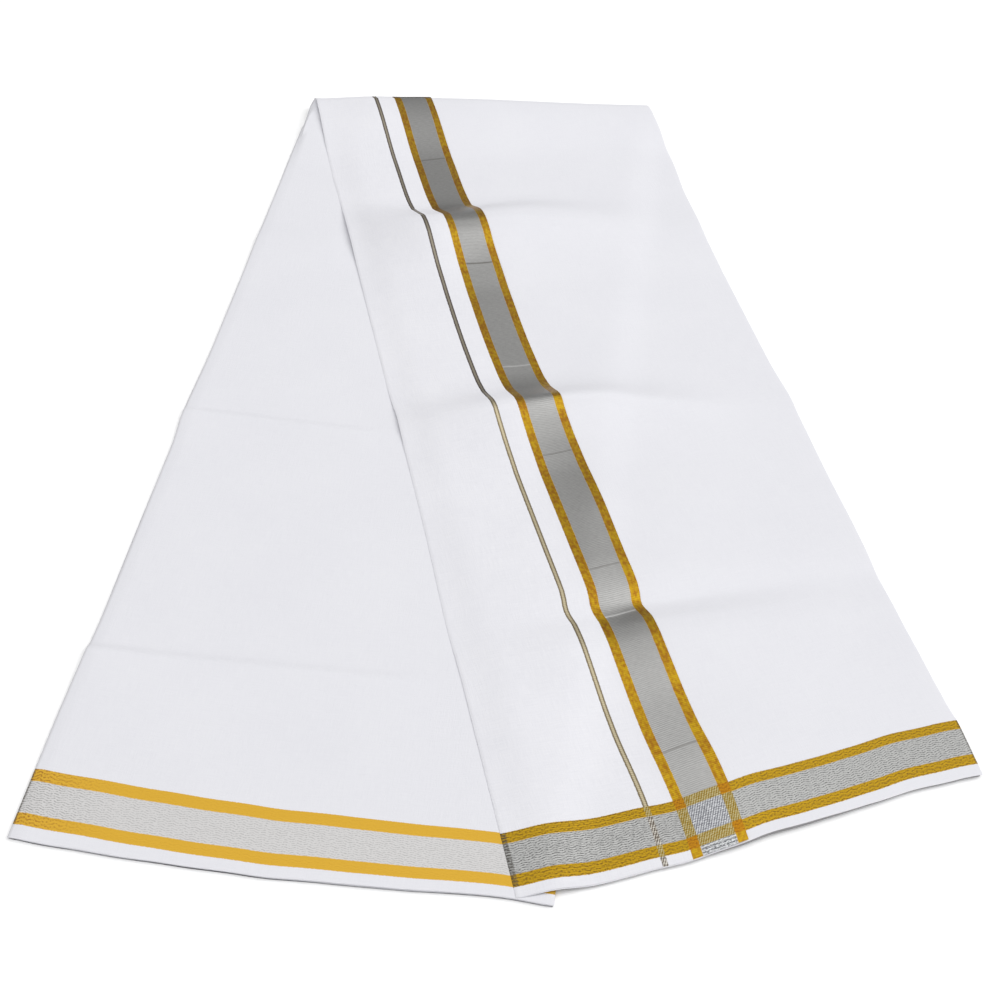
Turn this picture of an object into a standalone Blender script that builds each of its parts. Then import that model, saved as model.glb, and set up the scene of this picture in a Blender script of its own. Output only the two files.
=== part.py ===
"""Dhoti cloth: one woven cotton length, folded lengthwise into a strip and laid flat.

The strip is turned over once at its middle, so that two stretches fan out from the turn:
the under stretch lies on the floor and the upper stretch lies across it. The upper
stretch's last leaf, with the striped selvedge, is turned back over its left side.
Units are metres. +Z is up, X runs along the turn, and the hems are at -Y.
"""

import math

import bmesh
import bpy
from mathutils import Vector

# The cloth and its lengthwise folding.
CLOTH_WIDTH = 1.27
LEAVES = 4
STRIP = CLOTH_WIDTH / LEAVES
HALF_SPREAD = math.radians(8.95)
TURN_LEFT_END = (-0.1543, 0.4669)

# Thickness of the pressed leaves, and the clearance between pieces that lie on each other.
UNDER_STACK = 0.0028
UPPER_STACK = 0.0024
TOP_LEAF = 0.0010
GAP = 0.0003
FOOT = 0.0003
LEAF_LIP = 0.0005
FOOT_INSET = 0.006
EDGE_DROP = 0.0005
EDGE_ROUND = 0.010

# Length of each stretch from the turn. The upper hem draws back towards its right side.
UPPER_LENGTH = 0.943
UPPER_HEM_DRAW = 0.045
UPPER_DRAW_FROM = 0.014
UPPER_DRAW_RUN = 0.332
UNDER_LENGTH = 0.8957
UNDER_HEM_SAG = 0.0077
UNDER_HEM_SKEW = 0.0058
HEM_BLEND = 0.16

# The sides wander a little, as distances from the strip's left side: the upper leaves fall
# short of the full strip, less so at the turn, and the under leaves spread beyond it.
SIDE_COLUMNS = ("at", "place")
UPPER_LEFT_SIDE = (
    (0.000, 0.0000),
    (0.120, 0.0000),
    (0.200, 0.0015),
    (0.300, 0.0022),
    (0.460, 0.0030),
    (0.500, 0.0045),
    (0.620, 0.0048),
    (0.720, 0.0037),
    (0.780, 0.0050),
    (0.943, 0.0056),
)
UPPER_RIGHT_SIDE = (
    (0.000, 0.3180),
    (0.030, 0.3190),
    (0.085, 0.3210),
    (0.135, 0.3210),
    (0.210, 0.3165),
    (0.290, 0.3138),
    (0.460, 0.3135),
    (0.510, 0.3150),
    (0.540, 0.3138),
    (0.630, 0.3122),
    (0.760, 0.3101),
    (0.810, 0.3108),
    (0.860, 0.3116),
    (0.890, 0.3130),
    (0.943, 0.3122),
)
UNDER_LEFT_SIDE = (
    (0.000, -0.0065),
    (0.050, -0.0048),
    (0.150, -0.0040),
    (0.400, -0.0035),
    (0.490, -0.0052),
    (0.530, -0.0035),
    (0.700, -0.0027),
    (0.800, -0.0052),
    (0.900, -0.0048),
)

# Free selvedge of the turned-back leaf: its distance from the left side, and its skew.
SELVEDGE_AT_TURN = 0.108
SELVEDGE_SKEW = 0.045

# Where the selvedge bows inwards from that line.
BOW_COLUMNS = ("at", "reach", "depth")
SELVEDGE_BOWS = (
    (0.185, 0.060, 0.0014),
    (0.430, 0.130, 0.0024),
    (0.722, 0.016, 0.0016),
    (0.890, 0.060, -0.0020),
)

# The turn: a soft loop, taller under the stiff border than at its ends.
TURN_HEIGHTS = {"left": 0.0152, "border": 0.0212, "right": 0.0160}
TURN_BACKS = {"left": 0.0000, "border": 0.0040, "right": 0.0010}
TURN_CRESTS = {"left": 0.0140, "border": 0.0180, "right": 0.0140}
TURN_WAIST = 0.40
TURN_LOW_REACH = 0.006
TURN_RUN = 0.118
TURN_BLEND = 0.15
TURN_ANGLES = (14, 32, 52, 72, 92, 112, 132, 150)
TURN_START = 0.0300

# Behind the turn's back: its foot, the step inside it, and where the under stretch starts.
TURN_FOOT = 0.0065
STEP_END = 0.0080
STEP_START = 0.0095
UNDER_START = 0.0120
UNDER_TUCK = 0.0175
UNDER_TUCK_RUN = 0.034

# Beside the under stretch: the clearance, the slope down to the floor, and the same above.
SIDE_CLEAR = 0.0012
SIDE_RAMP = 0.008
BRIDGE_RAMP = 0.034
HIGH_STEP_ROOM = 0.004
LOW_STEP_ROOM = 0.002

# Where the border stiffens the cloth, and how far each side of it the ridges reach.
BORDER_FROM = 0.06
BORDER_TO = 0.13
RIDGE_END = 0.29

# Crosswise ridges left by the packet folds in the under stretch: one row for each.
RIDGE_COLUMNS = ("at", "rise", "fall", "left", "border", "right", "slant")
UNDER_RIDGES = (
    (0.240, 0.040, 0.060, 0.0000, 0.0035, 0.0000, 0.000),
    (0.480, 0.022, 0.060, 0.0008, 0.0030, 0.0000, 0.012),
    (0.738, 0.026, 0.030, 0.0022, 0.0012, 0.0000, 0.000),
)

# Where the upper stretch covers the under one, as shares of the covering stretch's offset.
COVER_FROM = 0.55
COVER_TO = 0.93

# Creases of the upper stretch, from the turn to the hem. The cloth runs straight from one to
# the next, at these heights over its resting place: at its left side, inside the border, at
# the selvedge and towards its right side. The slant is a crease's offset at the right side.
CREASE_SOFTNESS = 0.003
BORDER_WIDTH = 0.043
CREASE_COLUMNS = ("at", "slant", "left", "inner", "edge", "right")
UPPER_CREASES = (
    (0.120, 0.000, 0.0000, 0.0000, 0.0000, 0.0000),
    (0.196, -0.018, 0.0000, 0.0003, 0.0004, 0.0000),
    (0.213, -0.020, 0.0003, 0.0014, 0.0011, 0.0000),
    (0.240, -0.022, 0.0026, 0.0142, 0.0144, 0.0000),
    (0.250, -0.022, 0.0033, 0.0192, 0.0174, 0.0000),
    (0.262, -0.022, 0.0035, 0.0208, 0.0184, 0.0000),
    (0.275, -0.022, 0.0032, 0.0196, 0.0162, 0.0000),
    (0.292, -0.022, 0.0024, 0.0141, 0.0098, 0.0000),
    (0.312, -0.020, 0.0014, 0.0076, 0.0058, 0.0000),
    (0.345, -0.018, 0.0006, 0.0040, 0.0016, 0.0000),
    (0.420, -0.010, 0.0002, 0.0024, 0.0002, 0.0000),
    (0.465, -0.006, 0.0003, 0.0019, 0.0002, 0.0001),
    (0.482, -0.006, 0.0012, 0.0046, 0.0034, 0.0004),
    (0.504, -0.006, 0.0028, 0.0142, 0.0136, 0.0013),
    (0.511, -0.006, 0.0030, 0.0158, 0.0146, 0.0015),
    (0.516, -0.006, 0.0029, 0.0154, 0.0112, 0.0015),
    (0.528, -0.006, 0.0020, 0.0111, 0.0076, 0.0012),
    (0.548, -0.006, 0.0013, 0.0058, 0.0044, 0.0010),
    (0.580, -0.008, 0.0004, 0.0018, 0.0038, 0.0008),
    (0.630, -0.010, 0.0000, 0.0017, 0.0072, 0.0014),
    (0.702, -0.012, 0.0000, 0.0021, 0.0068, 0.0022),
    (0.716, -0.012, 0.0000, 0.0009, 0.0046, 0.0016),
    (0.725, -0.012, 0.0000, 0.0000, 0.0006, 0.0004),
    (0.733, -0.012, 0.0000, 0.0001, 0.0026, 0.0006),
    (0.747, -0.012, 0.0002, 0.0025, 0.0070, 0.0016),
    (0.760, -0.012, 0.0003, 0.0039, 0.0081, 0.0024),
    (0.812, -0.012, 0.0002, 0.0005, 0.0052, 0.0024),
    (0.865, -0.010, 0.0000, 0.0008, 0.0062, 0.0016),
    (0.915, 0.000, 0.0000, 0.0004, 0.0034, 0.0005),
    (0.941, 0.000, 0.0000, 0.0000, 0.0016, 0.0002),
)

# Spacing of the sections: close together at a ridge or crease, wide apart between them.
RIDGE_STEPS = (-0.044, -0.033, -0.023, -0.014, -0.006, 0.002, 0.012, 0.028, 0.050)
CREASE_STEPS = (-0.006, 0.0, 0.006)
WIDEST_STEP = 0.042
CLOSEST_STEP = 0.006
HEM_STEPS = (0.0, 0.012, 0.050)

# Spacing across a stretch, as shares of the width that each row of points spans.
LEAF_COLUMNS = (0.0, 0.04, 0.22, 0.48, 0.74, 1.0)
BODY_COLUMNS = (0.10, 0.30, 0.55, 0.78, 0.95, 1.0)
UNDER_COLUMNS = (0.0, 0.015, 0.10, 0.24, 0.40, 0.58, 0.78, 0.985, 1.0)
ON_UNDER_COLUMNS = (0.0, 0.14, 0.34, 0.56, 0.78, 1.0)
ON_FLOOR_COLUMNS = (0.0, 0.2, 0.4, 0.6, 0.8, 1.0)

COTTON = (0.83, 0.83, 0.86, 1.0)
BORDER_COTTON = (0.80, 0.78, 0.70, 1.0)

TAN_SPREAD = math.tan(HALF_SPREAD)
TAN_BETWEEN = math.tan(2 * HALF_SPREAD)


def smooth(x):
    """0 below 0, 1 above 1, and an even curve between."""
    x = min(max(x, 0.0), 1.0)
    return x * x * (3 - 2 * x)


def named_rows(columns, rows):
    return [dict(zip(columns, row)) for row in rows]


def across(t, sizes):
    """A size that changes from the left side, over the border, to the right side."""
    to_border = smooth(t / BORDER_FROM)
    to_right = smooth((t - BORDER_TO) / (RIDGE_END - BORDER_TO))
    near = sizes["left"] + (sizes["border"] - sizes["left"]) * to_border
    return near + (sizes["right"] - near) * to_right


def ridge_height(s, t, ridge):
    """A packet-fold ridge: a steep concave rise towards the hem, then a long easy fall."""
    at = ridge["at"] + ridge["slant"] * smooth(t / STRIP)
    height = across(t, ridge)
    if s < at:
        return height * smooth(1 - (at - s) / ridge["rise"])
    return height * max(1 - (s - at) / ridge["fall"], 0.0) ** 1.5


def side_place(q, side):
    """Distance of a side from the strip's left side, at section q."""
    rows = named_rows(SIDE_COLUMNS, side)
    for before, after in zip(rows, rows[1:]):
        if q < after["at"]:
            break
    share = smooth((q - before["at"]) / (after["at"] - before["at"]))
    return before["place"] + (after["place"] - before["place"]) * share


def side_drop(t, left, right):
    """The stack is pressed a little thinner at its two folded sides."""
    inside = min(t - left, right - t)
    return EDGE_DROP * (1 - smooth(inside / EDGE_ROUND))


# ---------------------------------------------------------------- places on a stretch


def on_floor(side, s, t):
    """The point s along a stretch and t from its left side; side is -1 under, +1 upper."""
    along = (side * math.sin(HALF_SPREAD), -math.cos(HALF_SPREAD))
    right = (math.cos(HALF_SPREAD), side * math.sin(HALF_SPREAD))
    x = TURN_LEFT_END[0] + s * along[0] + t * right[0]
    y = TURN_LEFT_END[1] + s * along[1] + t * right[1]
    return x, y


def upper_hem(t):
    return UPPER_LENGTH - UPPER_HEM_DRAW * smooth((t - UPPER_DRAW_FROM) / UPPER_DRAW_RUN)


def under_hem(t):
    x = t / STRIP
    return UNDER_LENGTH - UNDER_HEM_SKEW * x + 4 * UNDER_HEM_SAG * x * (1 - x)


def along_strip(side, q, t, length, hem):
    """Section q runs parallel to the turn close to it, and parallel to the hem at the end."""
    turn_skew = side * t * TAN_SPREAD * (1 - smooth(q / TURN_BLEND))
    hem_skew = (hem(t) - length) * smooth(1 - (length - q) / HEM_BLEND)
    return q + turn_skew + hem_skew


def selvedge(s):
    """The free selvedge: a straight line, with a soft bow about each marked place."""
    line = SELVEDGE_AT_TURN + SELVEDGE_SKEW * s
    for bow in named_rows(BOW_COLUMNS, SELVEDGE_BOWS):
        x = min(abs(s - bow["at"]) / bow["reach"], 1.0)
        line -= bow["depth"] * (1 - x * x) ** 2
    return line


def upper_left(q):
    return side_place(q, UPPER_LEFT_SIDE)


def upper_right(q):
    return side_place(q, UPPER_RIGHT_SIDE)


def under_left(q):
    return side_place(q, UNDER_LEFT_SIDE)


def under_right(q):
    return STRIP - UNDER_TUCK * (1 - smooth((q - UNDER_START) / UNDER_TUCK_RUN))


def under_side(q):
    """Where section q of the upper stretch crosses the under stretch's right side."""
    skew = TAN_SPREAD * TAN_BETWEEN
    turn = 1 - smooth(q / TURN_BLEND)
    return (STRIP * (1 + skew) - q * TAN_BETWEEN) / (1 + turn * skew)


# ---------------------------------------------------------------- heights


def crease_height(s, t, crease):
    """Height of one crease, from the left side, over the border, to the right side."""
    edge = selvedge(s)
    inner = edge - BORDER_WIDTH
    if t < inner:
        return crease["left"] + (crease["inner"] - crease["left"]) * smooth(t / inner)
    if t < edge:
        share = smooth((t - inner) / BORDER_WIDTH)
        return crease["inner"] + (crease["edge"] - crease["inner"]) * share
    share = smooth((t - edge) / (RIDGE_END - edge))
    return crease["edge"] + (crease["right"] - crease["edge"]) * share


def between_creases(s, t):
    creases = named_rows(CREASE_COLUMNS, UPPER_CREASES)
    turned = smooth(t / STRIP)
    for before, after in zip(creases, creases[1:]):
        start = before["at"] + before["slant"] * turned
        end = after["at"] + after["slant"] * turned
        if s < end:
            break
    share = min(max((s - start) / (end - start), 0.0), 1.0)
    first, second = crease_height(s, t, before), crease_height(s, t, after)
    return first + (second - first) * share


def creased(s, t):
    """Straight from crease to crease, with each crease a little rounded."""
    shifts = (-CREASE_SOFTNESS, 0.0, CREASE_SOFTNESS)
    return sum(between_creases(s + shift, t) for shift in shifts) / len(shifts)


def under_top(s, t):
    """Top of the under stretch. Its ridges die out where the upper stretch covers it."""
    cover = max(s * TAN_BETWEEN, GAP)
    shown = 1 - smooth((t / cover - COVER_FROM) / (COVER_TO - COVER_FROM))
    ridges = sum(ridge_height(s, t, r) for r in named_rows(RIDGE_COLUMNS, UNDER_RIDGES))
    return UNDER_STACK - side_drop(t, under_left(s), STRIP) + ridges * shown


def turn_height(t):
    return across(t, TURN_HEIGHTS)


def turn_crest(t):
    return across(t, TURN_CRESTS)


def turn_back(t):
    return across(t, TURN_BACKS)


def upper_top(q, s, t):
    """Top of the upper stretch, from the crest of the turn to the hem."""
    step = UNDER_STACK + GAP
    beyond = t - under_side(q) + SIDE_RAMP
    base = FOOT + UPPER_STACK + step * (1 - smooth(beyond / BRIDGE_RAMP))
    x = min(max((q - turn_crest(t)) / TURN_RUN, 0.0), 1.0)
    turn = (turn_height(t) - base) * (1 + math.cos(math.pi * x)) / 2
    return base - side_drop(t, upper_left(q), upper_right(q)) + turn + creased(s, t)


# ---------------------------------------------------------------- sections


def section_places(start, length, marked):
    """Places of the sections, from the hem to start, with one at each marked place."""
    places = [start] + [length - step for step in HEM_STEPS] + marked
    places = sorted(p for p in places if start <= p <= length)
    kept = [places[0]]
    for place in places[1:]:
        room = place - kept[-1]
        if room < CLOSEST_STEP:
            continue
        parts = math.ceil(room / WIDEST_STEP)
        first = kept[-1]
        kept += [first + room * (k + 1) / parts for k in range(parts)]
    kept[-1] = length
    return kept[::-1]


def under_places():
    ridges = named_rows(RIDGE_COLUMNS, UNDER_RIDGES)
    marked = [ridge["at"] + step for ridge in ridges for step in RIDGE_STEPS]
    return section_places(UNDER_START, UNDER_LENGTH, marked)


def upper_places():
    """Sections of the upper stretch, following its creases where they cross the border."""
    turned = smooth(SELVEDGE_AT_TURN / STRIP)
    creases = named_rows(CREASE_COLUMNS, UPPER_CREASES)
    crests = [crease["at"] + crease["slant"] * turned for crease in creases]
    marked = [crest + step for crest in crests for step in CREASE_STEPS]
    return section_places(TURN_START, UPPER_LENGTH, marked)


def leaf_places(q):
    """Distances from the left side: across the top leaf, then on to the right side."""
    left, edge, right = upper_left(q), selvedge(q), upper_right(q)
    across_leaf = [left + (edge - left) * c for c in LEAF_COLUMNS]
    across_body = [edge + (right - edge) * c for c in BODY_COLUMNS]
    return across_leaf + across_body


def upper_grid():
    """Outer surface of the upper stretch, as rows of points from its hem round the turn."""
    rows = []
    for q in upper_places():
        row = []
        for t in leaf_places(q):
            s = along_strip(1, q, t, UPPER_LENGTH, upper_hem)
            row.append(Vector((*on_floor(1, s, t), upper_top(q, s, t))))
        rows.append(row)
    for angle in (0, *TURN_ANGLES):
        rows.append([turn_point(math.radians(angle), t) for t in leaf_places(0)])
    return rows


def turn_point(angle, t):
    """A point on the back of the turn, angle round from its crest."""
    height, crest, back = turn_height(t), turn_crest(t), turn_back(t)
    waist = TURN_WAIST * height
    upper_half = angle < math.pi / 2
    rise = height - waist if upper_half else waist
    reach = crest - back if upper_half else TURN_LOW_REACH
    q = back + reach * (1 - math.sin(angle))
    z = waist + rise * math.cos(angle)
    s = along_strip(1, q, t, UPPER_LENGTH, upper_hem)
    return Vector((*on_floor(1, s, t), z))


def floor_places(q):
    """Distances from the left side for the underside, with columns along the step."""
    edge = under_side(q)
    foot_left, foot_right = upper_left(q) + FOOT_INSET, upper_right(q) - FOOT_INSET
    high = min(edge + SIDE_CLEAR, foot_right - HIGH_STEP_ROOM)
    low = min(high + SIDE_RAMP, foot_right - LOW_STEP_ROOM)
    on_under = [foot_left + (high - foot_left) * c for c in ON_UNDER_COLUMNS]
    return on_under + [low + (foot_right - low) * c for c in ON_FLOOR_COLUMNS]


def upper_foot():
    """Underside of the upper stretch: on the under stretch, then down to the floor."""
    places = upper_places()
    places[0] = UPPER_LENGTH - FOOT_INSET
    places += [STEP_START, STEP_END]
    rows = []
    for q in places:
        row = []
        for j, t in enumerate(floor_places(q)):
            s = along_strip(1, q, t, UPPER_LENGTH, upper_hem)
            s += turn_back(t) if q <= STEP_START else 0.0
            on_under = q > STEP_END and j < len(ON_UNDER_COLUMNS)
            z = UNDER_STACK + GAP if on_under else 0.0
            row.append(Vector((*on_floor(1, s, t), z)))
        rows.append(row)
    for angle in TURN_ANGLES[1:]:
        row = []
        for t in floor_places(STEP_END):
            share = angle / TURN_ANGLES[-1]
            q = turn_back(t) + STEP_END + (TURN_FOOT - STEP_END) * share
            s = along_strip(1, q, t, UPPER_LENGTH, upper_hem)
            row.append(Vector((*on_floor(1, s, t), 0.0)))
        rows.append(row)
    return rows


# ---------------------------------------------------------------- solids


def rim_places(rows, columns):
    """The grid's outer vertices, once round."""
    first = [(0, j) for j in range(columns)]
    right = [(i, columns - 1) for i in range(1, rows)]
    last = [(rows - 1, j) for j in range(columns - 2, -1, -1)]
    left = [(i, 0) for i in range(rows - 2, 0, -1)]
    return first + right + last + left


def path_normals(rows):
    """Outward directions of a grid's vertices, along its rows of sections."""
    normals = []
    for i, row in enumerate(rows):
        before, after = rows[max(i - 1, 0)], rows[min(i + 1, len(rows) - 1)]
        line = []
        for j in range(len(row)):
            along = after[j] - before[j]
            k = min(j + 1, len(row) - 1)
            cross = row[k] - row[k - 1]
            line.append(cross.cross(along).normalized())
        normals.append(line)
    return normals


def rim_out(rows, place):
    """Level direction out of the grid at a rim vertex; none at the turn's foot."""
    i, j = place
    out = Vector((0.0, 0.0, 0.0))
    if i == 0:
        out += (rows[0][j] - rows[1][j]).normalized()
    if j == 0:
        out += (rows[i][0] - rows[i][1]).normalized()
    if j == len(rows[0]) - 1:
        out += (rows[i][j] - rows[i][j - 1]).normalized()
    out.z = 0.0
    return out


def grid_faces(bm, grid):
    """Triangles with one diagonal throughout, so that surfaces laid together stay parallel."""
    for i in range(len(grid) - 1):
        for j in range(len(grid[0]) - 1):
            near, far = grid[i], grid[i + 1]
            bm.faces.new((near[j], near[j + 1], far[j + 1]))
            bm.faces.new((near[j], far[j + 1], far[j]))


def stitch(bm, upper, lower):
    """Triangles between two rings whose points don't pair up, by the shorter diagonal."""
    count = len(upper)
    i, j = 0, 0
    while i < count or j < count:
        above, below = upper[i % count], lower[j % count]
        next_above, next_below = upper[(i + 1) % count], lower[(j + 1) % count]
        along_upper = (next_above.co - below.co).length < (next_below.co - above.co).length
        if j == count or (i < count and along_upper):
            bm.faces.new((above, below, next_above))
            i += 1
        else:
            bm.faces.new((above, below, next_below))
            j += 1


def layered_solid(name, top_rows, foot_rows, loops, collection, colour):
    """Close a top and an underside with a rim of loops; a loop is (depth, outward offset)."""
    bm = bmesh.new()
    top = [[bm.verts.new(p) for p in row] for row in top_rows]
    foot = [[bm.verts.new(p) for p in row] for row in foot_rows]
    grid_faces(bm, top)
    grid_faces(bm, foot)
    normals = path_normals(top_rows)
    places = rim_places(len(top_rows), len(top_rows[0]))
    rings = [[top[i][j] for i, j in places]]
    for depth, offset in loops:
        ring = []
        for i, j in places:
            inward = -normals[i][j]
            if i == len(top_rows) - 1:
                inward = Vector((inward.x, inward.y, 0.0)).normalized()
            point = top_rows[i][j] + inward * depth + rim_out(top_rows, (i, j)) * offset
            ring.append(bm.verts.new(point))
        rings.append(ring)
    count = len(places)
    for upper, lower in zip(rings, rings[1:]):
        for k in range(count):
            n = (k + 1) % count
            bm.faces.new((upper[k], lower[k], lower[n], upper[n]))
    stitch(bm, rings[-1], [foot[i][j] for i, j in places])
    bmesh.ops.recalc_face_normals(bm, faces=bm.faces)
    return finish(name, bm, collection, colour)


def finish(name, bm, collection, colour):
    mesh = bpy.data.meshes.new(name)
    bm.to_mesh(mesh)
    bm.free()
    mesh.shade_smooth()
    mesh.set_sharp_from_angle(angle=math.radians(35))
    mesh.materials.append(cloth_material(name, colour))
    thing = bpy.data.objects.new(name, mesh)
    collection.objects.link(thing)
    return thing


def cloth_material(name, colour):
    material = bpy.data.materials.new(name + "_cotton")
    material.use_nodes = True
    shader = material.node_tree.nodes["Principled BSDF"]
    shader.inputs["Base Color"].default_value = colour
    shader.inputs["Roughness"].default_value = 0.85
    shader.inputs["Metallic"].default_value = 0.0
    return material


def leaf_lips(stack):
    """Rim loops that show each folded leaf of a stack as its own rounded lip."""
    loops = []
    for k in range(1, 2 * LEAVES):
        loops.append((stack * k / (2 * LEAVES), LEAF_LIP if k % 2 else 0.0))
    return loops


def under_stretch(collection):
    """The stretch on the floor: four pressed leaves, with a flat underside."""
    top, foot = [], []
    for q in under_places():
        top_row, foot_row = [], []
        left, right = under_left(q), under_right(q)
        for t in (left + (right - left) * c for c in UNDER_COLUMNS):
            s = along_strip(-1, q, t, UNDER_LENGTH, under_hem)
            s += turn_back(t) if q == UNDER_START else 0.0
            x, y = on_floor(-1, s, t)
            top_row.append(Vector((x, y, under_top(s, t))))
            foot_row.append(Vector((x, y, 0.0)))
        top.append(top_row)
        foot.append(foot_row)
    return layered_solid(
        "under_stretch", top, foot, leaf_lips(UNDER_STACK - EDGE_DROP), collection, COTTON
    )


def upper_stretch(collection):
    """The stretch on top with its turn: a lipped edge over hidden leaves set back from it."""
    stack = UPPER_STACK - EDGE_DROP
    loops = leaf_lips(stack) + [(stack, 0.0), (stack, -FOOT_INSET)]
    return layered_solid("upper_stretch", upper_grid(), upper_foot(), loops, collection, COTTON)


def turned_back_leaf(collection):
    """The single leaf with the selvedge border, laid on the upper stretch and its turn."""
    rows = [row[: len(LEAF_COLUMNS)] for row in upper_grid()[:-1]]
    normals = path_normals(rows)
    foot, top = [], []
    for row, line in zip(rows, normals):
        foot.append([p + n * GAP for p, n in zip(row, line)])
        top.append([p + n * (GAP + TOP_LEAF) for p, n in zip(row, line)])
    loops = [(TOP_LEAF / 2, TOP_LEAF / 3)]
    return layered_solid("turned_back_leaf", top, foot, loops, collection, BORDER_COTTON)


def clear_scene():
    for thing in list(bpy.data.objects):
        bpy.data.objects.remove(thing, do_unlink=True)


def build():
    clear_scene()
    collection = bpy.data.collections.new("dhoti_cloth")
    bpy.context.scene.collection.children.link(collection)
    under_stretch(collection)
    upper_stretch(collection)
    turned_back_leaf(collection)


build()
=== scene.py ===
"""Dhoti cloth, folded lengthwise, turned over once and laid flat: its looks, floor and light."""

import math

import bmesh
import bpy
from mathutils import Matrix, Vector, noise


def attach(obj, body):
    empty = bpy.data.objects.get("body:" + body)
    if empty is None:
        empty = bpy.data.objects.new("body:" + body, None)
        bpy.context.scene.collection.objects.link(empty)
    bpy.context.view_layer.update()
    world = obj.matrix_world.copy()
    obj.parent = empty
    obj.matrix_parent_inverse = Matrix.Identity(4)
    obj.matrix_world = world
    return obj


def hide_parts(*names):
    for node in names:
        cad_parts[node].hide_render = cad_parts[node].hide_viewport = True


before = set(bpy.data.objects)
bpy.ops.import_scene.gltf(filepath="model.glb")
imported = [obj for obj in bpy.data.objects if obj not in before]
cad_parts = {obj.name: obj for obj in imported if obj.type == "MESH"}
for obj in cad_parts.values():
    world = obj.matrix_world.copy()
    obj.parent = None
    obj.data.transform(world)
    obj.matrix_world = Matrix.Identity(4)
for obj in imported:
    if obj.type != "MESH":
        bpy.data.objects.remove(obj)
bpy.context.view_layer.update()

# ------------------------------------------------------------------ under stretch
# Half of the dhoti, lying on the floor: one width of fine white cotton, folded lengthwise
# in four and pressed. The border across it is woven in, and the end beyond it is hemmed.

STRIP = 0.3175
LEAN = math.radians(8.95)
BETWEEN = math.tan(2 * LEAN)
TURN_LEFT_END = (-0.1543, 0.4669)
GAP = 0.0003

UNDER_STACK = 0.0028
UNDER_LENGTH = 0.8957
UNDER_START = 0.0120
UNDER_HEM_SAG = 0.0077
UNDER_HEM_SKEW = 0.0058
UNDER_HEM_WAVE = (0.0009, 30.0, 5.0, 0.2)
HEM_CORNER = 0.0062
HEM_CORNER_FROM = 0.268
HEM_CORNER_RUN = 0.062
HEM_BLEND = 0.16
TURN_BLEND = 0.15
UNDER_TUCK = 0.0175
UNDER_TUCK_RUN = 0.034
UNDER_LEAVES = 4
UNDER_COLUMNS = 44

# Rows lie this far apart, closer near a fold's crest and near the hem; columns crowd to a side.
ROWS_WIDE = 0.0085
ROWS_CLOSE = 0.0022
CREST_REACH = 0.04
HEM_REACH = 0.03
CROWDING = 0.11

# The side wanders a little; its places are distances in mm from the strip's left side.
MM = 0.001
SIDE_COLUMNS = ("at", "place")
UNDER_LEFT_SIDE = (
    (12, -0.4), (26, -3.6), (50, -4.6), (150, -4), (400, -3.5), (490, -5.2), (530, -3.5),
    (700, -2.7), (800, -5.2), (900, -4.8),
)

# The stiff border holds the packet folds up best: sizes are given left of it, on it and right.
BORDER_FROM = 0.06
BORDER_TO = 0.13
RIDGE_END = 0.29
TURN_BACKS = {"left": 0.0000, "border": 0.0040, "right": 0.0010}

FOLD_COLUMNS = ("at", "rise", "fall", "left", "border", "right", "slant")
UNDER_FOLDS = (
    (0.243, 0.030, 0.060, 0.0013, 0.0012, 0.0000, 0.000),
    (0.488, 0.006, 0.050, 0.0015, 0.0013, 0.0010, 0.006),
    (0.744, 0.009, 0.045, 0.0026, 0.0017, 0.0006, -0.008),
)
FOLD_EASING = 1.5
FOLDS_FADE_FROM = 0.80
FOLDS_FADE_RUN = 0.20

# Pressed cotton is a little uneven, slowly and more quickly.
RELIEF_COLUMNS = ("height", "along", "across", "seed")
RELIEF = ((0.00022, 9, 9, 0.3), (0.00010, 26, 22, 4.1))
TOP_PLAY = 0.0001

# The edge of a stack, leaf by leaf: side folds take in two leaves, and at a hem the leaves
# under the top one stand back from it.
EDGE_STEPS = (0.06, 0.22, 0.5, 0.78, 0.94, 1.0)
PAIR_GROOVE = 0.0018
LEAF_GROOVE = 0.0006
UNDER_STAND_BACK = 0.0009
HEM_WANDER = 0.0004
SIDE_WANDER = 0.0012
SIDE_ROUND = 0.0010
SIDE_ROUND_RUN = 0.0045

# The left end of the turn: the under leaves curl up into it from this far along.
CURL_COLUMNS = ("height", "from", "run")
CURL_OUTSIDE = (0.0108, 0.000, 0.036)
CURL_INSIDE = (0.0094, 0.014, 0.118)
CURL_BACK = 0.0095
CURL_BACK_RUN = 0.03
CURL_RAMP = 0.0045
CURL_WIDTH = 0.010
CURL_UNDER = 0.004
CURL_LEAST = 0.002

# The stiff border draws the cloth in towards the right, and the hem is turned in deeper there.
BORDER_DEPTH = 0.060
UNDER_DRAWN = 0.106
UNDER_DRAWN_FROM = 0.02
UNDER_DRAWN_RUN = 0.254
HEM_DEEPER = 0.0014
UNDER_DEEPER_RUN = 0.1


def ease(x):
    x = min(max(x, 0.0), 1.0)
    return x * x * (3 - 2 * x)


def bell(x):
    x = min(abs(x), 1.0)
    return (1 - x * x) ** 2


def named(columns, rows, unit=1.0):
    return [dict(zip(columns, [size * unit for size in row])) for row in rows]


def over_border(t, sizes):
    """A size that changes from the left side, over the border, to the right side."""
    near = sizes["left"] + (sizes["border"] - sizes["left"]) * ease(t / BORDER_FROM)
    return near + (sizes["right"] - near) * ease((t - BORDER_TO) / (RIDGE_END - BORDER_TO))


def fold_height(s, t, fold):
    """A packet fold: a steep hollow rise towards the hem, then a long easy fall."""
    at = fold["at"] + fold["slant"] * ease(t / STRIP)
    height = over_border(t, fold)
    if s < at:
        return height * ease(1 - (at - s) / fold["rise"])
    return height * max(1 - (s - at) / fold["fall"], 0.0) ** FOLD_EASING


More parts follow.
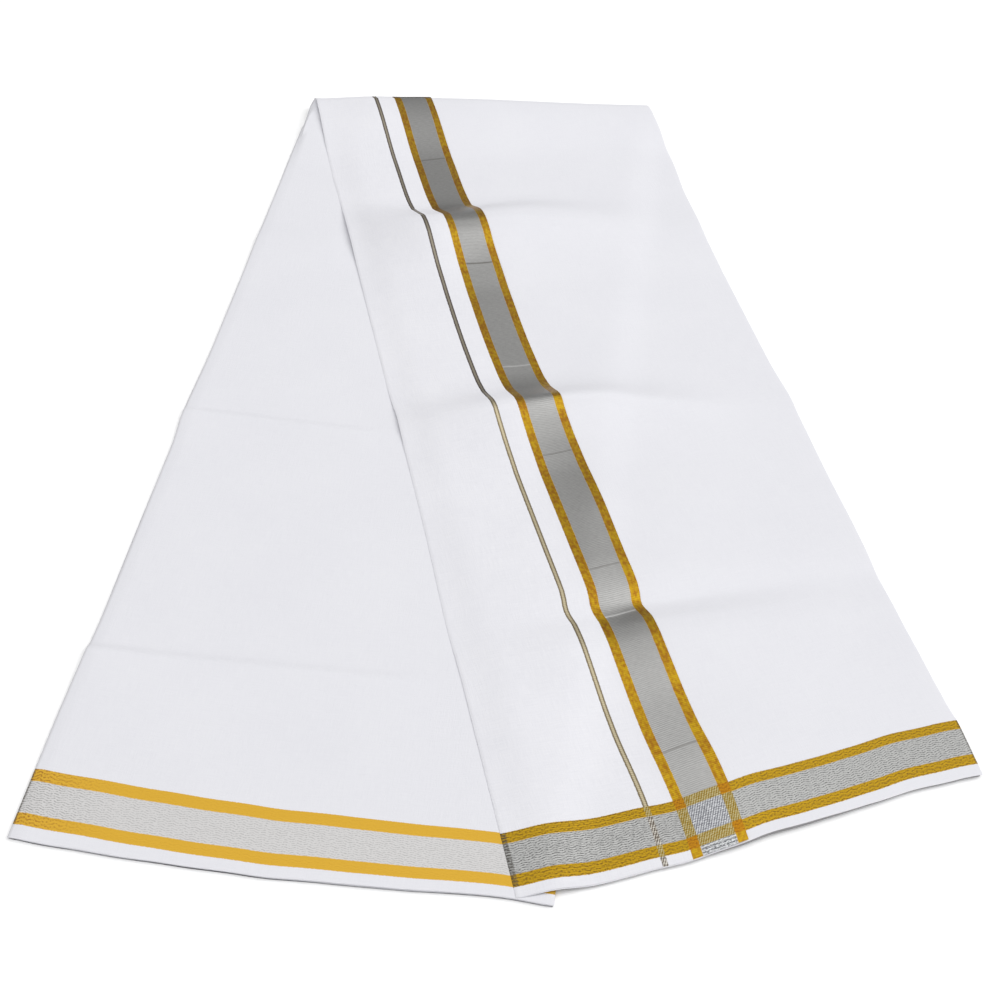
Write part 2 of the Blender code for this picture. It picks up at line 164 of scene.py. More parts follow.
def on_floor(side, s, t):
    """The place s along a stretch and t from its left side; side is -1 under, +1 upper."""
    along = (side * math.sin(LEAN), -math.cos(LEAN))
    right = (math.cos(LEAN), side * math.sin(LEAN))
    x = TURN_LEFT_END[0] + s * along[0] + t * right[0]
    y = TURN_LEFT_END[1] + s * along[1] + t * right[1]
    return x, y


def down_strip(side, q, t, length, hem):
    """Row q of a stretch runs along the turn close to it, and along the hem at its end."""
    turn_skew = side * t * math.tan(LEAN) * (1 - ease(q / TURN_BLEND))
    hem_skew = (hem(t) - length) * ease(1 - (length - q) / HEM_BLEND)
    return q + turn_skew + hem_skew


def row_places(start, end, crests):
    """Places of the rows from the hem back to start, closer together at each fold's crest."""
    places = [start]
    while places[-1] < end:
        near = max(bell((places[-1] - crest) / CREST_REACH) for crest in crests)
        near = max(near, bell((end - places[-1]) / HEM_REACH))
        places.append(places[-1] + ROWS_WIDE + (ROWS_CLOSE - ROWS_WIDE) * near)
    stretch = (end - start) / (places[-1] - start)
    return [start + (place - start) * stretch for place in places][::-1]


def columns_between(left, right, count, left_close=False, right_close=False):
    """Distances across for the columns, closer together at the sides that ask for it."""
    columns = []
    for k in range(count):
        x = k / (count - 1)
        if left_close:
            x = x - CROWDING * math.sin(math.pi * x) * (1 - x)
        if right_close:
            x = x + CROWDING * math.sin(math.pi * x) * x
        columns.append(left + (right - left) * x)
    return columns


def soft_relief(x, y):
    parts = named(RELIEF_COLUMNS, RELIEF)
    return sum(part["height"] * noise.noise(
        Vector((x * part["along"], y * part["across"], part["seed"]))) for part in parts)


def hem_wave(t, wave):
    """A hem isn't quite even: a wave's height, its number in a metre and its seeds."""
    height, in_a_metre, *seeds = wave
    return height * noise.noise(Vector((t * in_a_metre, *seeds)))


def under_hem(t):
    """The hem sags at mid width, and hangs out a little at its right corner."""
    x = t / STRIP
    sag = 4 * UNDER_HEM_SAG * x * (1 - x)
    corner = HEM_CORNER * ease((t - HEM_CORNER_FROM) / HEM_CORNER_RUN)
    return UNDER_LENGTH - UNDER_HEM_SKEW * x + sag + corner + hem_wave(t, UNDER_HEM_WAVE)


def side_place(q, side):
    """Distance of a side from the strip's left side, at row q."""
    rows = named(SIDE_COLUMNS, side, MM)
    for before, after in zip(rows, rows[1:]):
        if q < after["at"]:
            break
    share = ease((q - before["at"]) / (after["at"] - before["at"]))
    return before["place"] + (after["place"] - before["place"]) * share


def under_right(q):
    return STRIP - UNDER_TUCK * (1 - ease((q - UNDER_START) / UNDER_TUCK_RUN))


def under_top(s, t):
    """Top of the under stretch. Its folds die out where the upper stretch covers it."""
    cover = max(s * BETWEEN, GAP)
    shown = 1 - ease((t / cover - FOLDS_FADE_FROM) / FOLDS_FADE_RUN)
    rise = sum(fold_height(s, t, fold) for fold in named(FOLD_COLUMNS, UNDER_FOLDS))
    return UNDER_STACK + TOP_PLAY + (rise + soft_relief(s, t)) * shown + curl(s, t)


def curl(s, t):
    """How much higher the leaves lie where they curl up into the turn's left end."""
    outside, hem_slot_shade = named(CURL_COLUMNS, (CURL_OUTSIDE, CURL_INSIDE))
    heights = []
    for part in (outside, hem_slot_shade):
        x = min(max((s - part["from"]) / part["run"], 0.0), 1.0)
        heights.append(part["height"] * (1 + math.cos(math.pi * x)) / 2)
    share = ease((t - side_place(s, UNDER_LEFT_SIDE)) / CURL_RAMP)
    height = heights[0] + (heights[1] - heights[0]) * share
    covered = max(s * BETWEEN + CURL_UNDER, CURL_LEAST)
    return height * (1 - ease((t - covered) / CURL_WIDTH))


def edge_places(grid):
    """The outer vertices of a grid, once round, as (row, column)."""
    rows, columns = len(grid), len(grid[0])
    hem = [(0, j) for j in range(columns)]
    right = [(i, columns - 1) for i in range(1, rows)]
    turn = [(rows - 1, j) for j in range(columns - 2, -1, -1)]
    left = [(i, 0) for i in range(rows - 2, 0, -1)]
    return hem + right + turn + left


def outward(grid, row, column):
    """Level direction out of a laid grid at its edge; none at the turn."""
    out = Vector((0.0, 0.0, 0.0))
    if row == 0:
        out += (grid[0][column] - grid[1][column]).normalized()
    if column == 0:
        out += (grid[row][0] - grid[row][1]).normalized()
    if column == len(grid[0]) - 1:
        out += (grid[row][-1] - grid[row][-2]).normalized()
    out.z = 0.0
    return out


def grid_normals(grid):
    normals = []
    for i, row in enumerate(grid):
        before, after = grid[max(i - 1, 0)], grid[min(i + 1, len(grid) - 1)]
        line = []
        for j in range(len(row)):
            side = row[min(j + 1, len(row) - 1)] - row[max(j - 1, 0)]
            line.append(side.cross(after[j] - before[j]).normalized())
        normals.append(line)
    return normals


def leaf_edge(share, leaves, pitch):
    """How far a thin stack's edge stands back, share down it; leaves in one rounded fold."""
    x = 2 * (share % 1.0) - 1
    radius = leaves * pitch / 2
    return radius * (math.sqrt(max(1 - x * x, 0.0)) - 1)


# Marks on each point for the weave: its distances from the hem, the selvedge and the fold, and
# its share of the way down the stack of leaves.
MARKS = ("from_hem", "from_side", "from_fold", "down")
SMOOTH_ANGLE = math.radians(50)


def lay_grid(name, points, marks):
    """A plain grid, laid vertex by vertex in its place, and marked for the weave."""
    rows, columns = len(points), len(points[0])
    bpy.ops.mesh.primitive_grid_add(x_subdivisions=columns - 1, y_subdivisions=rows - 1,
                                    calc_uvs=False)
    cloth = bpy.context.object
    cloth.name = cloth.data.name = name
    layers = [cloth.data.attributes.new(mark, "FLOAT", "POINT").name for mark in MARKS]
    for n, vertex in enumerate(cloth.data.vertices):
        row, column = divmod(n, columns)
        vertex.co = points[row][column]
        for layer, value in zip(layers, marks[row][column]):
            cloth.data.attributes[layer].data[n].value = value
    return cloth


def close_stack(cloth, rings, foot):
    """Carry the edge of the top leaf down in rings, and close it with the lowest leaf."""
    rows, columns = len(foot), len(foot[0])
    bm = bmesh.new()
    bm.from_mesh(cloth.data)
    bm.verts.ensure_lookup_table()
    layers = [bm.verts.layers.float[mark] for mark in MARKS]
    laid = list(bm.verts)
    places = edge_places(foot)
    top = [laid[row * columns + column] for row, column in places]

    def copied(source, point, down):
        vertex = bm.verts.new(point)
        for layer in layers:
            vertex[layer] = source[layer]
        vertex[layers[-1]] = down
        return vertex

    def bridge(upper, lower):
        for k in range(len(upper)):
            n = (k + 1) % len(upper)
            bm.faces.new((upper[k], upper[n], lower[n], lower[k]))

    loop = top
    for n, ring in enumerate(rings):
        down = (n + 1) / len(rings)
        lower = [copied(source, point, down) for source, point in zip(top, ring)]
        bridge(loop, lower)
        loop = lower
    below = {}
    for i in range(rows):
        for j in range(columns):
            below[i, j] = copied(laid[i * columns + j], foot[i][j], 1.0)
    bridge(loop, [below[place] for place in places])
    for i in range(rows - 1):
        for j in range(columns - 1):
            bm.faces.new((below[i, j], below[i + 1, j], below[i + 1, j + 1], below[i, j + 1]))
    bmesh.ops.recalc_face_normals(bm, faces=bm.faces)
    bm.to_mesh(cloth.data)
    bm.free()


def pick(cloth):
    bpy.ops.object.select_all(action="DESELECT")
    cloth.select_set(True)
    bpy.context.view_layer.objects.active = cloth


def finish_cloth(cloth, material):
    cloth.data.materials.append(material)
    pick(cloth)
    bpy.ops.object.shade_smooth_by_angle(angle=SMOOTH_ANGLE)


def under_grid():
    """Points and weave marks of the top leaf, from the hem back to the turn."""
    pitch = UNDER_STACK / UNDER_LEAVES
    points, marks = [], []
    for q in row_places(UNDER_START, UNDER_LENGTH, [fold[0] for fold in UNDER_FOLDS]):
        line, line_marks = [], []
        left, right = side_place(q, UNDER_LEFT_SIDE) + pitch, under_right(q) - pitch
        for t in columns_between(left, right, UNDER_COLUMNS, left_close=True):
            s = down_strip(-1, q, t, UNDER_LENGTH - pitch, under_hem)
            if q == UNDER_START:
                s += over_border(t, TURN_BACKS)
            at_turn = 1 - ease((q - UNDER_START) / CURL_BACK_RUN)
            s -= CURL_BACK * (1 - ease(t / CURL_WIDTH)) * at_turn
            round_off = SIDE_ROUND * (1 - ease((t - left) / SIDE_ROUND_RUN))
            line.append(Vector((*on_floor(-1, s, t), under_top(s, t) - round_off)))
            line_marks.append((under_from_hem(s, t), t, min(t - left, right - t)))
        points.append(line)
        marks.append(line_marks)
    return points, marks


def in_weave(distance, drawn_in):
    """A distance from the hem, where only the border is drawn in."""
    return min(distance, BORDER_DEPTH) / drawn_in + max(distance - BORDER_DEPTH, 0.0)


def under_from_hem(s, t):
    """Distance from the hem in the weave."""
    drawn_in = 1 - UNDER_DRAWN * (max(t - UNDER_DRAWN_FROM, 0.0) / UNDER_DRAWN_RUN) ** 2
    deeper = HEM_DEEPER * ease((t - UNDER_DRAWN_FROM) / UNDER_DEEPER_RUN)
    return in_weave(under_hem(t) - s + deeper, drawn_in)


def under_rings(points):
    """The edges of the leaves, from the top one down to the floor."""
    pitch = UNDER_STACK / UNDER_LEAVES
    rings = []
    for leaf in range(UNDER_LEAVES):
        for step in EDGE_STEPS:
            share = (leaf % 2 + step) / 2
            groove = step == 1.0 and leaf < UNDER_LEAVES - 1
            ring = []
            for row, column in edge_places(points):
                place = points[row][column]
                out = outward(points, row, column)
                along = noise.noise(Vector((row * 0.035, column * 0.08, leaf * 3.0)))
                if row == 0:
                    reach = leaf_edge(step, 1, pitch) + pitch
                    reach -= LEAF_GROOVE if groove else 0.0
                    reach -= UNDER_STAND_BACK + HEM_WANDER * along if leaf else 0.0
                elif groove and leaf == 1:
                    reach = -PAIR_GROOVE
                else:
                    reach = leaf_edge(share, 2, pitch) + pitch
                    reach += SIDE_WANDER * along if leaf > 1 else 0.0
                z = place.z * (1 - (leaf + step) / UNDER_LEAVES)
                if row == len(points) - 1:
                    reach = 0.0
                ring.append(Vector((place.x + out.x * reach, place.y + out.y * reach, z)))
            rings.append(ring)
    return rings


THREAD = 0.0004
COTTON_ROUGHNESS = 0.88


class Value:
    """A shader value: arithmetic written on it adds the Math nodes."""

    def __init__(self, cloth_shader, socket):
        self.shader = cloth_shader
        self.socket = socket

    def math(self, operation, *others, clamp=False):
        return self.shader.add("ShaderNodeMath", {"operation": operation, "use_clamp": clamp},
                               self, *others)

    def __add__(self, other):
        return self.math("ADD", other)

    def __sub__(self, other):
        return self.math("SUBTRACT", other)

    def __mul__(self, other):
        return self.math("MULTIPLY", other)

    def __truediv__(self, other):
        return self.math("DIVIDE", other)

    def __rsub__(self, other):
        return self.shader.add("ShaderNodeMath", {"operation": "SUBTRACT"}, other, self)

    def __rtruediv__(self, other):
        return self.shader.add("ShaderNodeMath", {"operation": "DIVIDE"}, other, self)

    __radd__ = __add__
    __rmul__ = __mul__

    def clamped(self):
        return self.math("ADD", 0.0, clamp=True)

    def threads(self, pitch):
        """Rounded threads side by side, 0 between them and 1 on top."""
        return (self * (2 * math.pi / pitch)).math("SINE") * 0.5 + 0.5

    def between(self, start, end, soft=THREAD):
        """1 where the value lies between start and end, with an edge as soft as a thread."""
        rising = ((self - (start - soft / 2)) / soft).clamped()
        falling = (((end + soft / 2) - self) / soft).clamped()
        return rising * falling


class ClothShader:
    """The nodes of a material or of the surround, and the one way that they are added."""

    def __init__(self, owner, surface="Principled BSDF"):
        self.owner = owner
        owner.use_nodes = True
        self.tree = owner.node_tree
        self.surface = self.tree.nodes[surface]

    def feed(self, node, inputs):
        """Link values to a node's sockets, and set numbers and colours on them."""
        for key, given in inputs:
            if isinstance(given, Value):
                self.tree.links.new(given.socket, node.inputs[key])
            else:
                node.inputs[key].default_value = given

    def add(self, kind, settings, *inputs, output=0, **named_inputs):
        node = self.tree.nodes.new(kind)
        for key, setting in settings.items():
            setattr(node, key, setting)
        self.feed(node, [*enumerate(inputs), *named_inputs.items()])
        return Value(self, node.outputs[output])

    def mark(self, name):
        return self.add("ShaderNodeAttribute", {"attribute_name": name}, output="Fac")

    def speckle(self, x, y, scale, detail=2.0):
        """Noise around 0, at a place in the weave."""
        place = self.add("ShaderNodeCombineXYZ", {}, x, y, 0.0)
        return self.add("ShaderNodeTexNoise", {}, Vector=place, Scale=scale, Detail=detail) - 0.5

    def blend(self, share, first, second):
        """Colours first to second, by share."""
        node = self.tree.nodes.new("ShaderNodeMix")
        node.data_type = "RGBA"
        self.feed(node, ((0, share), (6, first), (7, second)))
        return Value(self, node.outputs[2])

    def layered(self, colour, *layers):
        """A colour with others laid over it, each by its share."""
        for share, over in layers:
            colour = self.blend(share, colour, over)
        return colour

    def scaled(self, colour, share):
        return self.add("ShaderNodeVectorMath", {"operation": "SCALE"}, colour, Scale=share)

    def ramp(self, value, stops):
        """Grey levels from a table of places and levels, straight from each to the next."""
        node = self.tree.nodes.new("ShaderNodeValToRGB")
        self.feed(node, ((0, value),))
        elements = node.color_ramp.elements
        for stop in stops[2:]:
            elements.new(stop["from_hem"])
        for element, stop in zip(elements, stops):
            element.position = stop["from_hem"]
            level = stop["sheen"] / SHEEN_TOP
            element.color = (level, level, level, 1)
        return Value(self, node.outputs[0])

    def finished(self, colour, zari, metal, roughness, height, strength):
        """The material, with metal thread where zari is 1 and plain cotton where it is 0."""
        bump = self.add("ShaderNodeBump", {}, Strength=strength, Distance=THREAD, Height=height)
        rough = COTTON_ROUGHNESS - zari * (COTTON_ROUGHNESS - roughness)
        self.feed(self.surface, (("Base Color", colour), ("Metallic", zari * metal),
                                 ("Roughness", rough), ("Normal", bump)))
        return self.owner


# The border across a stretch, from the hem inwards: plain strip, gold, silver, gold.
UNDER_BORDER = (0.0085, 0.0090, 0.0242, 0.0093)
COTTON_WHITE = (0.690, 0.690, 0.722, 1)
COTTON_SHADE = (0.652, 0.652, 0.690, 1)
# The turned-back leaf is the same cotton painted a little lighter: painted light on that leaf.
LEAF_LIT_WHITE = (0.722, 0.720, 0.752, 1)
# Painted shade: this dark colour is laid over the border where it turns round a folded side,
# along the under stretch's left edge, on the lower leaves at the upper stretch's hem and in the
# dark fine creases.
FOLD_SHADE = (0.070, 0.062, 0.050, 1)
UNDER_GOLD = (0.640, 0.370, 0.020, 1)
DEEP_GOLD = (0.600, 0.335, 0.016, 1)
RUBBED_GOLD = (0.350, 0.140, 0.006, 1)
UNDER_SILVER = ((0.594, 0.584, 0.579, 1), (0.294, 0.290, 0.286, 1))
UNDER_DASHES = 0.50
RUBBED_DASHES = 0.45
UNDER_METAL = 0.25
UNDER_ROUGHNESS = 0.50
BUMP = 0.35
LEFT_EDGE_SHADE = 0.18

# Noise scales: fine along a thread, coarse for a slow cloud over the cloth.
FINE = 1500.0
CLOUDY = 14.0
LONG = 0.05
COTTON_PITCH = 0.00085

# The woven border's dashes: their rows' pitch, and the zigzag that the rows follow.
DASH_PITCH = 0.00175
FLECK_PITCH = 0.0027
FOLD_DASH_PITCH = 0.0021
ZIG_PITCH = 0.0034
DASH_ZIG = 0.0012
FLECK_ZIG = 0.0016
DASH_DRIFT = 0.0014
BORDER_WOBBLE = 0.0007

# Ranges that reach past an edge of the cloth start here.
OUTSIDE = -0.05


def cotton(name, white=COTTON_WHITE):
    """A material and its places in the weave, with the plain ground's colour and relief."""
    shader = ClothShader(bpy.data.materials.new(name))
    hem, side = shader.mark("from_hem"), shader.mark("from_side")
    weft = shader.speckle(side * LONG, hem, FINE, 1.0)
    warp = shader.speckle(side, hem * LONG, FINE, 1.0)
    share = (weft + warp + shader.speckle(side, hem, CLOUDY)) * 0.9 + 0.42
    colour = shader.blend(share.clamped(), white, COTTON_SHADE)
    weave = side.threads(COTTON_PITCH) * hem.threads(COTTON_PITCH)
    return shader, hem, side, colour, weave * 0.25 + (weft + warp + 1.0) * 0.6


def cross_border(shader, hem, side, sizes, gold, silver, dash_depth):
    """The woven border across a stretch near its hem: masks with colours, and its threads. Where
    it turns round a folded side, it is darkened with painted shade in broken dashes.
    """
    h = hem + shader.speckle(side, hem, 900.0, 1.0) * BORDER_WOBBLE
    strip, outer_gold, silver_width, inner_gold = sizes
    inner = strip + outer_gold + silver_width
    silver_mask = h.between(strip + outer_gold, inner)
    gold_mask = h.between(strip, inner + inner_gold) * (1 - silver_mask)
    drift = shader.speckle(side, hem, 160.0, 1.0) * DASH_DRIFT
    zig = ((side + drift) / ZIG_PITCH).math("PINGPONG", 1.0)
    breaks = shader.speckle(side * 0.8, hem, 950.0, 3.0)
    dash = (hem + zig * DASH_ZIG + drift * 0.5).threads(DASH_PITCH)
    dash = ((dash - 0.60) * 2.0 + breaks * 5.6).clamped() * dash_depth
    fleck = (hem + zig * FLECK_ZIG).threads(FLECK_PITCH) * 0.5 + breaks * 2.6
    fleck = ((fleck - 0.22) * 2.4).clamped() * dash_depth
    # Painted shade: at a folded side the border is darkened towards FOLD_SHADE, in dashes.
    at_fold = shader.mark("from_fold").between(OUTSIDE, 0.0005, 0.0007)
    fold_dashes = hem.threads(FOLD_DASH_PITCH) * 0.6 + breaks * 1.6 + 0.35
    at_fold = (at_fold * fold_dashes.clamped() * dash_depth, FOLD_SHADE)
    gold_layer = (gold_mask, shader.layered(gold[0], (fleck, gold[1]), at_fold))
    silver_layer = (silver_mask, shader.layered(silver[0], (dash, silver[1]), at_fold))
    return gold_layer, silver_layer, dash, fleck


def bordered(shader, ground, relief, border, shade, metal, roughness):
    """The cotton with its cross border over it, and with painted shade laid over both."""
    gold, silver, dash, fleck = border
    zari = gold[0] + silver[0]
    colour = shader.layered(ground, silver, gold, (shade, FOLD_SHADE))
    height = relief * (1 - zari) + zari * (0.9 - dash * 0.8 + fleck * 0.3)
    return shader.finished(colour, zari, metal, roughness, height, BUMP)


def pale_cotton(name):
    """The under stretch: its zari has a paler, flatter gold and a bright silver."""
    shader, hem, side, ground, relief = cotton(name)
    rubbed = (1.0 - side * 20.0).clamped()
    gold = (UNDER_GOLD, shader.blend(rubbed, DEEP_GOLD, RUBBED_GOLD))
    border = cross_border(shader, hem, side, UNDER_BORDER, gold, UNDER_SILVER,
                          UNDER_DASHES + rubbed * RUBBED_DASHES)
    # Painted shade: a thin dark line along the under stretch's folded left edge.
    left_edge_share = shader.mark("from_fold").between(OUTSIDE, 0.0008, 0.0012)
    left_edge_share = left_edge_share * side.between(OUTSIDE, 0.02) * LEFT_EDGE_SHADE
    return bordered(shader, ground, relief, border, left_edge_share, UNDER_METAL, UNDER_ROUGHNESS)


points, marks = under_grid()
under_cloth = lay_grid("under_cloth", points, marks)
foot = [[Vector((p.x, p.y, 0.0)) for p in row] for row in points]
close_stack(under_cloth, under_rings(points), foot)
finish_cloth(under_cloth, pale_cotton("under_cotton"))
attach(under_cloth, "root")
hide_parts("under_stretch")

# ------------------------------------------------------------------ upper stretch
# The other half, turned over onto the first and laid across it at an angle. The turn is a
# soft loop of all the leaves, held up by the stiff border, and its folds aren't pressed out.

UPPER_STACK = 0.0024
UPPER_LENGTH = 0.943
UPPER_HEM_DRAW = 0.045
UPPER_DRAW_FROM = 0.014
UPPER_DRAW_RUN = 0.332
UPPER_HEM_WAVE = (0.0016, 34.0, 2.0, 0.7)
UPPER_DRAWN = 0.08
UPPER_DRAWN_FROM = 0.02
UPPER_DRAWN_RUN = 0.15
UPPER_DEEPER_FROM = 0.2
UPPER_DEEPER_RUN = 0.08
UPPER_LEFT_SIDE = (
    (0, 0), (120, 0), (200, 1.5), (300, 2.2), (460, 3), (500, 4.5), (620, 4.8), (720, 3.7),
    (780, 5), (943, 5.6),
)
UPPER_RIGHT_SIDE = (
    (0, 318), (30, 319), (85, 321), (135, 321), (210, 316.5), (290, 313.8), (460, 313.5),
    (510, 315), (540, 313.8), (630, 312.2), (760, 310.1), (810, 310.8), (860, 311.6),
    (890, 313), (943, 312.2),
)
SELVEDGE_AT_TURN = 0.108
SELVEDGE_SKEW = 0.045
BOW_COLUMNS = ("at", "reach", "inwards")
SELVEDGE_BOWS = (
    (0.185, 0.060, 0.0014),
    (0.430, 0.130, 0.0024),
    (0.722, 0.016, 0.0016),
    (0.890, 0.060, -0.0020),
)
FOLD_ROOM = 0.0028
FOLD_GAP = 0.0022

TURN_HEIGHTS = {"left": 0.0152, "border": 0.0212, "right": 0.0160}
TURN_CRESTS = {"left": 0.0140, "border": 0.0180, "right": 0.0140}
TURN_WAIST = 0.40
TURN_LOW_REACH = 0.006
TURN_RUN = 0.118
TURN_START = 0.0300
CREST_SHARES = (0.75, 0.5, 0.25, 0.0)
TURN_ANGLES = (8, 16, 25, 34, 43, 52, 62, 72, 82, 92, 103, 114, 124, 134, 143, 151)
TURN_STEP = 0.0035
LEAF_COLUMNS = 24
BODY_COLUMNS = 30
FOOT_COLUMNS = (27, 26)
FOOT_BACK = 0.006
FOOT_LEAST = (0.004, 0.002)
UPPER_LEAVES = 3
STEP_START = 0.0095
STEP_END = 0.0080
TURN_FOOT = 0.0065
SIDE_CLEAR = 0.0012
SIDE_RAMP = 0.008
BRIDGE_RAMP = 0.034
LEFT_FOOT_INSET = 0.002
LEFT_GROOVE = 0.0004
LEFT_PRESS = 0.0030
LEFT_PRESS_RUN = 0.030
LOWER_FOLLOW = 0.35
THINNEST = 0.0002
UPPER_RELIEF = 1.5
UPPER_PLAY = 0.0002
UPPER_STAND_BACK = 0.0011
UPPER_HEM_WANDER = 0.0006
LEFT_WANDER = 0.0004
RIGHT_WANDER = 0.0008
RIGHT_STAND_BACK = 0.0012
RIGHT_FOOT_INSET = 0.006

PACKET_FOLDS = (0.252, 0.506, 0.736)
CREASE_SOFTNESS = 0.003
LEFT_BEND_TO = 0.085
RIGHT_BEND_FROM = 0.15
RIGHT_BEND_RUN = 0.16
BEND_COLUMNS = ("at", "reach", "left", "right")
FOLD_BENDS = (
    (0.252, 0.062, -0.024, 0.028),
    (0.506, 0.043, -0.006, 0.016),
)
BORDER_WIDTH = 0.043

# Creases from the packet folds, from the turn to the hem, in mm. The cloth runs straight from
# one to the next, at these heights over its resting place: at its left side, inside the border,
# at the selvedge and towards its right side. The slant is a crease's offset at the right side.
CREASE_COLUMNS = ("at", "slant", "left", "inner", "edge", "right")
UPPER_CREASES = (
    (120, 0, 0, 0, 0, 0),
    (196, -18, 0, 0.3, 0.4, 0),
    (213, -20, 0.3, 1.4, 1.1, 0),
    (240, -22, 2.6, 14.2, 14.4, 1.4),
    (250, -22, 3.3, 19.2, 17.4, 2),
    (262, -22, 3.5, 20.8, 18.4, 2),
    (275, -22, 3.2, 19.6, 16.2, 1.5),
    (292, -22, 1.6, 14.1, 9.8, 0.8),
    (312, -20, 0.7, 7.6, 5.8, 0.3),
    (345, -18, 0.2, 4, 1.6, 0),
    (420, -10, 0, 2.4, 0.2, 0),
    (465, -6, 0, 1.9, 0.2, 0.1),
    (482, -6, 0.4, 4.6, 3.4, 0.4),
    (504, -6, 1.9, 14.2, 13.6, 1.3),
    (511, -6, 2.1, 15.8, 14.6, 1.5),
    (516, -6, 1.9, 15.4, 11.2, 1.5),
    (528, -6, 0.8, 11.1, 7.6, 1.2),
    (548, -6, 0.2, 5.8, 4.4, 1),
    (580, -8, 0, 1.8, 3.8, 0.8),
    (630, -10, 0, 1.7, 7.2, 1.4),
    (702, -12, 0, 2.1, 6.8, 2.2),
    (716, -12, 0, 0.9, 4.6, 1.6),
    (725, -12, 0, 0, 0.6, 0.4),
    (733, -12, 0, 0.1, 2.6, 0.6),
    (747, -12, 0.2, 2.5, 7, 1.6),
    (760, -12, 0.3, 3.9, 8.1, 2.4),
    (812, -12, 0.2, 0.5, 5.2, 2.4),
    (865, -10, 0, 0.8, 6.2, 1.6),
    (915, 0, 0, 0.4, 3.4, 0.5),
    (941, 0, 0, 0, 1.6, 0.2),
)

CREASES = named(CREASE_COLUMNS, UPPER_CREASES, MM)
BENDS = named(BEND_COLUMNS, FOLD_BENDS)


def upper_hem(t):
    """The hem is drawn in towards the right."""
    drawn = UPPER_HEM_DRAW * ease((t - UPPER_DRAW_FROM) / UPPER_DRAW_RUN)
    return UPPER_LENGTH - drawn + hem_wave(t, UPPER_HEM_WAVE)


def upper_from_hem(s, t):
    drawn_in = 1 - UPPER_DRAWN * ease((t - UPPER_DRAWN_FROM) / UPPER_DRAWN_RUN)
    deeper = HEM_DEEPER * ease((t - UPPER_DEEPER_FROM) / UPPER_DEEPER_RUN)
    return in_weave(upper_hem(t) - s - deeper, drawn_in)


def selvedge(s):
    bows = named(BOW_COLUMNS, SELVEDGE_BOWS)
    inwards = sum(bow["inwards"] * bell((s - bow["at"]) / bow["reach"]) for bow in bows)
    return SELVEDGE_AT_TURN + SELVEDGE_SKEW * s - inwards


def crease_height(s, t, crease):
    edge = selvedge(s)
    inner = edge - BORDER_WIDTH
    if t < inner:
        return crease["left"] + (crease["inner"] - crease["left"]) * ease(t / inner)
    if t < edge:
        share = ease((t - inner) / BORDER_WIDTH)
        return crease["inner"] + (crease["edge"] - crease["inner"]) * share
    share = ease((t - edge) / (RIDGE_END - edge))
    return crease["edge"] + (crease["right"] - crease["edge"]) * share


def crease_bend(at, t):
    """A packet fold bends where it leaves the stiff border, to the left and to the right."""
    bend = 0.0
    for fold in BENDS:
        if abs(at - fold["at"]) < fold["reach"]:
            bend += fold["left"] * (1 - ease(t / LEFT_BEND_TO))
            bend += fold["right"] * ease((t - RIGHT_BEND_FROM) / RIGHT_BEND_RUN)
    return bend


def between_creases(s, t):
    turned = ease(t / STRIP)
    for before, after in zip(CREASES, CREASES[1:]):
        start = before["at"] + before["slant"] * turned + crease_bend(before["at"], t)
        end = after["at"] + after["slant"] * turned + crease_bend(after["at"], t)
        if s < end:
            break
    share = min(max((s - start) / (end - start), 0.0), 1.0)
    first, second = crease_height(s, t, before), crease_height(s, t, after)
    return first + (second - first) * share


def creased(s, t):
    """Straight from crease to crease, with each crease a little rounded."""
    steps = (-1.0, -0.5, 0.0, 0.5, 1.0)
    return sum(between_creases(s + CREASE_SOFTNESS * step, t) for step in steps) / len(steps)


def upper_left(q):
    return side_place(q, UPPER_LEFT_SIDE)


def upper_right(q):
    return side_place(q, UPPER_RIGHT_SIDE)


def under_side(q):
    """Where row q of the upper stretch crosses the under stretch's right side."""
    skew = math.tan(LEAN) * BETWEEN
    turn = 1 - ease(q / TURN_BLEND)
    return (STRIP * (1 + skew) - q * BETWEEN) / (1 + turn * skew)


def upper_parts(q, s, t):
    """Resting height, turn and folds of the upper stretch, whose sum is its top."""
    step = UNDER_STACK + GAP
    rest = GAP + step * (1 - ease((t - under_side(q) + SIDE_RAMP) / BRIDGE_RAMP))
    crest = over_border(t, TURN_CRESTS)
    x = min(max((q - crest) / TURN_RUN, 0.0), 1.0)
    lift = over_border(t, TURN_HEIGHTS) - rest - UPPER_STACK
    turn = lift * (1 + math.cos(math.pi * x)) / 2
    left_edge_share = ease(x) * (1 - ease((t - upper_left(q)) / LEFT_PRESS_RUN))
    relief = soft_relief(s + 3.0, t) * UPPER_RELIEF * (1 - left_edge_share) + UPPER_PLAY
    return rest, turn, creased(s, t) + relief - LEFT_PRESS * left_edge_share


def upper_columns(kind, place):
    """Distances from the left side: across the turned-back leaf, then to the right side."""
    left = upper_left(place_at(kind, place, 0.0)) + FOLD_ROOM
    edge = selvedge(place_at(kind, place, SELVEDGE_AT_TURN))
    right = upper_right(place_at(kind, place, STRIP))
    body = columns_between(edge, right, BODY_COLUMNS, right_close=True)[1:]
    return columns_between(left, edge, LEAF_COLUMNS) + body


def place_at(kind, place, t):
    """How far down the strip a row is: on the flat, near the crest or round the turn."""
    crest, back = over_border(t, TURN_CRESTS), over_border(t, TURN_BACKS)
    if kind == "flat":
        return place
    if kind == "crest":
        return crest + (TURN_START - crest) * place
    reach = crest - back if place < math.pi / 2 else TURN_LOW_REACH
    return back + reach * (1 - math.sin(place))


